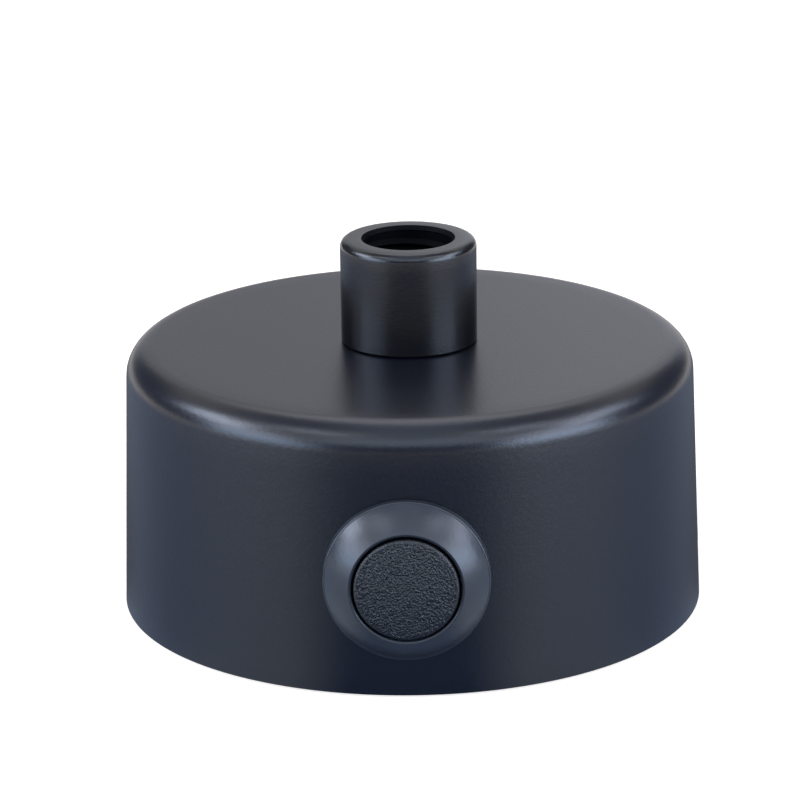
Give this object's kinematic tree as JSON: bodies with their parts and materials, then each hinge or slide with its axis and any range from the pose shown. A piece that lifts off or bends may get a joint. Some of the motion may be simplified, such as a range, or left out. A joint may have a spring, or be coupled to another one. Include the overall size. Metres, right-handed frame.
{
  "type": "electrical ceiling rose",
  "caption": "Round drawn-steel ceiling canopy with a central threaded collar and a push-button switch set in its side wall.",
  "frame": {"origin": "centre of the ceiling plane, which the canopy's rim and the bracket's feet touch", "axes": "+Z away from the ceiling along the collar's axis, -Y towards the push button, +X along the bracket"},
  "size_m": [0.065, 0.0684, 0.0414],
  "materials": {
    "canopy": "matt black powder coat",
    "collar": "satin black lacquer over turned steel",
    "nipple": "zinc-plated steel tube",
    "nut": "zinc-plated steel",
    "spring_steel": "spring steel",
    "tinned_brass": "tinned brass sheet",
    "zinc_sheet": "zinc-plated steel strip",
    "black_screw": "blackened steel",
    "steel_screw": "zinc-plated steel screw",
    "brass": "bare brass",
    "block_plastic": "moulded polyamide",
    "bezel_plastic": "satin black moulded plastic",
    "cap_plastic": "spark-textured black plastic",
    "inner_plastic": "moulded acetal",
    "base_plastic": "black phenolic",
    "gasket_fibre": "rubber washer"
  },
  "bodies": {
    "rose": {"canopy": "canopy", "collar": "collar", "nipple": "nipple", "nipple_nut": "nut", "lock_washer": "spring_steel", "earth_tag": "tinned_brass", "bracket": "zinc_sheet", "canopy_screws": "black_screw", "earth_screw": "steel_screw", "earth_cup": "tinned_brass", "terminal_housing": "block_plastic", "terminal_sleeves": "brass", "clamp_screws": "steel_screw", "block_screws": "steel_screw", "switch_bezel": "bezel_plastic", "switch_gasket": "gasket_fibre", "switch_nut": "bezel_plastic", "switch_base": "base_plastic", "return_spring": "spring_steel", "left_lug": "brass", "right_lug": "brass"},
    "button": {"button_cap": "cap_plastic", "button_plunger": "inner_plastic", "cam_rotor": "inner_plastic", "contact_bridge": "brass"}
  },
  "joints": [
    {"name": "button_press", "type": "slide", "parent": "rose", "child": "button", "axis": [0, 1, 0], "range_m": [0, 0.002], "stiffness_N_per_m": 600, "springref_m": -0.002, "deforming": ["return_spring"]}
  ]
}
